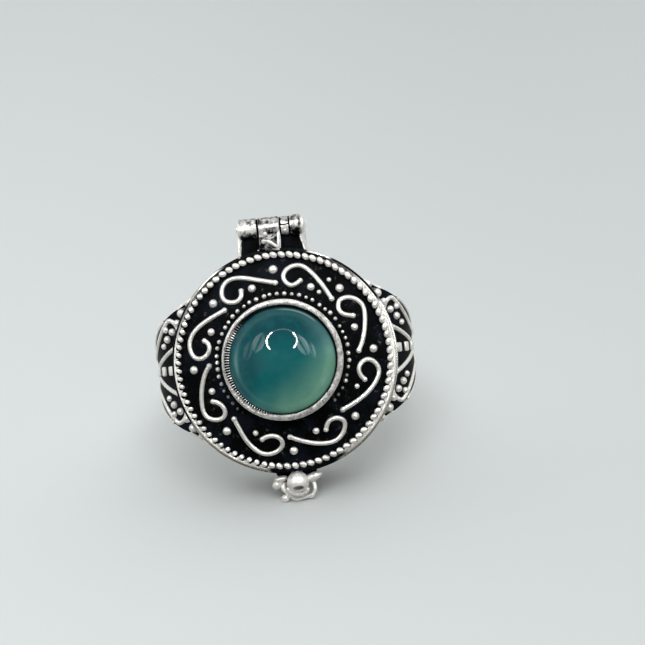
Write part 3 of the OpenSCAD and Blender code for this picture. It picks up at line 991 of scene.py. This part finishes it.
# Stations round the band, each an outer and an inner point: the ledge, the shoulder, the straight side, the back
stations = [((x, ledge_y), on_circle(finger_r, a)) for x, a in ((5.4, 12), (6.4, 18), (7.4, 24))]
for i in range(25):
    a = math.radians(55.8 * (1 - i / 24))
    stations.append(((turn_x + shoulder_r * math.cos(a), turn_y + shoulder_r * math.sin(a)),
                     on_circle(finger_r, 28 + 44 * i / 24)))
for i in range(1, 13):
    stations.append(((band_r, turn_y * (1 - i / 12)), on_circle(finger_r, 72 + 18 * i / 12)))
for i in range(1, 31):
    stations.append((on_circle(band_r, 90 + 90 * i / 30), on_circle(finger_r, 90 + 90 * i / 30)))
stations += [((-ox, oy), (-ix, iy)) for (ox, oy), (ix, iy) in reversed(stations[:-1])]

# The section of the band at a station: the outer face, a side, the inner face and the other side
section = ([("outer", z / 10) for z in (-9.8, -9.4, -8.8, -7, -5, -2.5, 0, 2.5, 5, 7, 8.8, 9.4, 9.8)]
           + [("side", 1, t) for t in (0.06, 0.5, 0.92)]
           + [("inner", z) for z in (0.92, 0.5, 0, -0.5, -0.92)]
           + [("side", -1, t) for t in (0.92, 0.5, 0.06)])
section.append(section[0])


def band_point(column, row):
    (ox, oy), (ix, iy) = stations[round(row * (len(stations) - 1))]
    kind, *where = section[round(column * (len(section) - 1))]
    outer = Vector((ox, -oy, 0))
    inner = Vector((ix, -iy, 0))
    if kind == "outer":
        return outer + Vector((0, 0, where[0] * half_width(oy)))
    if kind == "inner":
        return inner + Vector((0, 0, where[0] * half_width(iy)))
    side, t = where
    point = outer.lerp(inner, t)
    width = half_width(oy) * (1 - t) + half_width(iy) * t
    return point + Vector((0, 0, side * width))


band = skin(len(section) - 1, len(stations) - 1, band_point)
edit(band)
bpy.ops.mesh.select_all(action="DESELECT")
bpy.ops.mesh.select_mode(type="EDGE")
bpy.ops.mesh.select_non_manifold(extend=False)
bpy.ops.mesh.fill()
bpy.ops.mesh.select_all(action="SELECT")
bpy.ops.mesh.normals_make_consistent(inside=False)
bpy.ops.mesh.select_mode(type="VERT")
done()


# The box's hollow passes through the band: the cut lies inside the box's wall and under its floor
hollow_r, hollow_depth, under_floor = 8.6, 10, 0.3
nothing_selected()
bpy.ops.mesh.primitive_cylinder_add(vertices=96, radius=hollow_r, depth=hollow_depth)
hollow = bpy.context.object
hollow.location = (0, -joint_y - hollow_depth / 2 + box_depth + under_floor, 0)
hollow.rotation_euler = (math.pi / 2, 0, 0)
applied(hollow)
alone(band)
bpy.ops.object.modifier_add(type="BOOLEAN")
cutting = band.modifiers[-1]
cutting.operation = "DIFFERENCE"
cutting.object = hollow
bpy.ops.object.modifier_apply(modifier=cutting.name)
bpy.data.objects.remove(hollow)
band = tidy(band)


def shoulder_out(p):
    """How far a point stands out of the shoulder's surface."""
    x, y = abs(p.x), -p.y
    if y > turn_y:
        return math.hypot(x - turn_x, y - turn_y) - shoulder_r
    return x - band_r


def band_rise(p):
    """Black on the shoulders' faces and on the ledge, worn silver elsewhere."""
    if -p.y > ledge_y - 0.05:
        return 0.0
    if -p.y > turn_y - 1.4 and abs(p.x) > 6.5 and shoulder_out(p) > -0.06:
        return 0.0 if abs(p.z) < half_width(-p.y) - 0.03 else 0.25
    return 0.5


finished("band", band, ring_frame, "ring", band_finish, band_rise, "ring_body", 35)


def on_shoulder(u, z, out=0.0):
    """A point over a shoulder, from its distance up the curve and its height along the finger."""
    a = max(u, 0.0) / shoulder_r
    x = turn_x + (shoulder_r + out) * math.cos(a)
    y = turn_y + min(u, 0.0) + (shoulder_r + out) * math.sin(a)
    return Vector((x, -y, z))


def shoulder_wire(points, radius, out=-0.015):
    """A beaded wire laid on a shoulder, by (distance up the curve, distance from its middle line)."""
    path = smooth_path([(u, z, 0) for u, z in points], 8)
    return wire([on_shoulder(p.x, p.y, out + (0.015 if i % 3 else -0.045)) for i, p in enumerate(path)], radius, 3)


relief = [
    shoulder_wire([(0.9, 0.1), (1.6, 0.55), (2.5, 1.05), (3.6, 1.6), (4.5, 2.05), (4.95, 2.75), (5.02, 3.5), (4.7, 4.1),
                   (4.05, 4.35), (3.35, 3.85), (2.65, 3.2), (2.05, 2.6), (1.4, 2.0), (0.5, 1.45), (-0.6, 1.1)], 0.2),
    shoulder_wire([(3.3, 4.3), (2.5, 3.8), (1.8, 3.32), (1.0, 2.72), (0.2, 2.1), (-0.8, 1.95), (-2.5, 1.93)], 0.13),
]
for k, (u, z, size) in enumerate([(4.4, 3.38, 0.31), (3.72, 2.78, 0.32), (3.1, 2.22, 0.26), (3.6, 3.6, 0.27)]):
    relief.append(ball(size, on_shoulder(u, z, 0.05), uneven=0.01, seed=k))
panel = both_sides(above_and_below(joined(relief)))
studs = []
for u in (3.8, 2.68, 1.45):
    place = Matrix.Translation(on_shoulder(u, 0.1, -0.02)) @ Matrix.Rotation(-u / shoulder_r, 4, "Z")
    studs.append(turned_by(block((-0.24, -0.29, -0.40), (0.21, 0.29, 0.40), 0.11, 2), place))
studs = both_sides(joined(studs))
finished("shoulder_relief", joined([panel, studs]), ring_frame, "ring", wires_wear_and_shade, lambda p: shoulder_out(p) + 0.08,
         "ring_body", 60)

# The flare of each shoulder into the box: its ledge is black, with three granules and a thin worn edge. Its corners
# are three on the ledge and one behind, as (distance from the middle, height along the finger, depth)
flare_corners = [(8.66, 5.26, ledge_drop), (6.95, 6.29, ledge_drop), (6.3, 5.7, ledge_drop), (7.35, 4.1, 4.5)]
nothing_selected()
bpy.ops.mesh.primitive_cone_add(vertices=3, radius1=1, depth=1)
flare = bpy.context.object
for vertex, (x, z, depth) in zip(flare.data.vertices, flare_corners):
    vertex.co = (x, depth - joint_y, z)
edit(flare)
bpy.ops.mesh.subdivide(number_cuts=11)
flare = marked(done(), lambda p: 0.0 if -p.y > ledge_y - 0.1 else 0.5)
corners = [flare]
for seed, size, x, proud, z in ((8, 0.36, 8.34, 0.1, 4.86), (9, 0.31, 7.66, 0.25, 5.66), (10, 0.3, 8.78, 0.05, 4.08)):
    corners.append(bright_part(ball(size, (x, -ledge_y - proud, z), uneven=0.012, seed=seed)))
corners.append(bright_part(wire([(x, -ledge_y, z) for x, z in ((7.0, 6.23), (7.8, 5.76), (8.6, 5.26))], 0.07, 2)))
corners = both_sides(above_and_below(joined(corners)))
finished("ledge_corners", corners, ring_frame, "ring", catch_wear_and_light, None, "ring_body", 26)

# The pin keeps its solid
frame["nodes"]["hinge_pin"].data.materials.clear()
frame["nodes"]["hinge_pin"].data.materials.append(plain_silver("worn hinge pin", 0.6, False))


# The set: a pale floor, soft light and the camera

nothing_selected()
bpy.ops.mesh.primitive_plane_add(size=3)
floor = bpy.context.object
floor.name = "floor"
pale = Shader("pale floor")
across_floor = pale.node("SeparateXYZ", None, pale.node("TexCoord")[3])[0]
# The floor is painted lighter on its left half than on its right: painted light.
floor.data.materials.append(pale.surface(
    Base_Color=pale.mix(pale.step(across_floor, -0.04, 0.04), (0.72, 0.755, 0.755), (0.64, 0.67, 0.67)),
    Roughness=0.9, Specular_IOR_Level=0.1))

bpy.context.scene.view_settings.view_transform = "Standard"

lid_middle = face_frame @ Vector((0, 0, 1.0))
facing = (face_frame.to_3x3() @ Vector((0, 0, 1))).normalized()
upward = (face_frame.to_3x3() @ Vector((0, 1, 0))).normalized()
sideways = Vector((1, 0, 0))

# The camera looks straight at the lid, a little rolled, with the lid's middle at this pixel of the picture
picture_size, lid_across, lid_down = 645, 285, 360.6
camera_away = 0.2
camera_data = bpy.data.cameras.new("camera")
camera = bpy.data.objects.new("camera", camera_data)
bpy.context.collection.objects.link(camera)
bpy.context.scene.camera = camera
camera_data.lens = camera_data.sensor_width * camera_away / (picture_size * PIXEL * MM)
camera_data.clip_start = 0.01
roll = math.radians(6.05)
right = sideways * math.cos(roll) - upward * math.sin(roll)
up = sideways * math.sin(roll) + upward * math.cos(roll)
half = picture_size / 2
aim = face_frame.translation + (right * (half - lid_across) + up * (lid_down - half)) * PIXEL * MM
camera.matrix_world = (Matrix.Translation(aim + facing * camera_away)
                       @ Matrix((right, up, facing)).transposed().to_4x4())

# The room is bright all round and dim behind the camera
world = bpy.data.worlds.new("studio")
bpy.context.scene.world = world
world.use_nodes = True
nodes, links = world.node_tree.nodes, world.node_tree.links
towards = nodes.new("ShaderNodeVectorMath")
towards.operation = "DOT_PRODUCT"
towards.inputs[1].default_value = facing
links.new(nodes.new("ShaderNodeTexCoord").outputs["Generated"], towards.inputs[0])
fade = nodes.new("ShaderNodeMapRange")
fade.interpolation_type = "SMOOTHSTEP"
for key, value in ((1, -0.35), (2, 0.5), (3, 1.0), (4, 0.3)):
    fade.inputs[key].default_value = value
links.new(towards.outputs["Value"], fade.inputs[0])
background = nodes["Background"]
background.inputs[0].default_value = (0.96, 0.98, 0.98, 1)
links.new(fade.outputs[0], background.inputs[1])


def soft_light(name, direction, distance, size, power, colour=(1, 1, 1)):
    """A softbox that gives light but isn't mirrored in anything."""
    data = bpy.data.lights.new(name, "AREA")
    data.shape = "RECTANGLE"
    data.size, data.size_y = size
    data.energy = power
    data.color = colour
    light = bpy.data.objects.new(name, data)
    bpy.context.collection.objects.link(light)
    direction = Vector(direction).normalized()
    light.location = lid_middle + direction * distance
    light.rotation_euler = direction.to_track_quat("Z", "Y").to_euler()
    light.visible_glossy = False


soft_light("top softbox", (0.1, -0.2, 1), 0.6, (0.9, 0.6), 1.4)
soft_light("front softbox", facing + upward * 0.5, 0.5, (0.4, 0.3), 0.95)
soft_light("low warm fill", facing - upward * 0.7, 0.4, (0.3, 0.1), 0.5, (1, 0.87, 0.62))

# Lamps that are seen only as bright shapes on the stone and on the silver: the two arcs of a round lamp,
# the faint line between them, and four soft patches
lamp_reach = 150


def mirrored(x, y):
    """The place in the room that a point of the stone mirrors to the camera."""
    point = Vector((x, y, stone_top(math.hypot(x, y))))
    normal = (point - Vector((0, 0, dome_mid))).normalized()
    point += shift
    view = (face_frame.inverted() @ camera.matrix_world.translation - point).normalized()
    return face_frame @ (point + (normal * (2 * normal.dot(view)) - view) * lamp_reach)


def lamp(name, across, along, place, radiance, soft=None):
    """A glowing strip, as bright all over or as soft(column share, row share) says."""
    strip = skin(across, along, place)
    strip.name = name
    if soft:
        layer = strip.data.attributes.new("shine", "FLOAT", "POINT")
        layer.data.foreach_set("value", [soft((i % (across + 1)) / across, i // (across + 1) / along)
                                         for i in range(len(strip.data.vertices))])
    s = Shader(name)
    strip.data.materials.append(s.lamp(radiance, s.attribute("shine") if soft else None))
    strip.visible_camera = strip.visible_diffuse = strip.visible_shadow = False


# The round lamp's image: its middle, its radius and how much it is squashed
image_x, image_y, image_r, image_squash = 0.13, 1.56, 1.25, 0.78


def arc_place(low, high, width):
    """A stretch of the lamp's image, from one angle to another."""
    def place(column, row):
        a = math.radians(low + (high - low) * row)
        r = image_r + (column - 0.5) * width
        return mirrored(image_x + r * math.cos(a), image_y + image_squash * r * math.sin(a))
    return place


lamp("lamp arc left", 1, 48, arc_place(122, 216, 0.14), 80)
lamp("lamp arc right", 1, 48, arc_place(-44, 40, 0.15), 80)
lamp("lamp bridge", 1, 16, arc_place(38, 124, 0.12), 4)


def patch_place(x, y, width, height, turn):
    """A leaf: pointed above and below."""
    def place(column, row):
        v = row * 2 - 1
        u = (column * 2 - 1) * (1 - 0.9 * v * v) * width / 2
        a = math.radians(turn)
        v *= height / 2
        return mirrored(x + u * math.cos(a) - v * math.sin(a), y + u * math.sin(a) + v * math.cos(a))
    return place


def soft_streaks(column, row):
    """Brightest near one side, streaked, and fading out at the rim."""
    fade = (1 - (column * 2 - 1) ** 2) * (1 - (row * 2 - 1) ** 2)
    return fade ** 0.5 * (0.85 + 0.15 * math.cos(column * 15))


for name, x, y, width, height, turn, radiance in (
        ("lamp patch left", -1.8, 1.6, 0.95, 1.9, -30, 6.5), ("lamp patch right", 1.78, 1.05, 0.9, 2.1, 24, 8.5),
        ("lamp patch far", 2.6, 0.5, 0.4, 1.6, 10, 6.0), ("lamp patch faint", -2.75, 1.0, 0.7, 1.8, -20, 2.5)):
    lamp(name, 16, 16, patch_place(x, y, width, height, turn), radiance, soft_streaks)

# A dark card on the floor in front, mirrored in the silver's lower sides and nowhere else
nothing_selected()
bpy.ops.mesh.primitive_plane_add(size=1)
card = bpy.context.object
card.name = "dark card"
card.location = (0, -1.008, 0.0004)
card.scale = (3, 2, 1)
applied(card)
card.data.materials.append(Shader("dark card").surface(Base_Color=(0.12, 0.10, 0.06, 1), Roughness=1.0,
                                                       Specular_IOR_Level=0.0))
card.visible_camera = card.visible_diffuse = card.visible_shadow = False
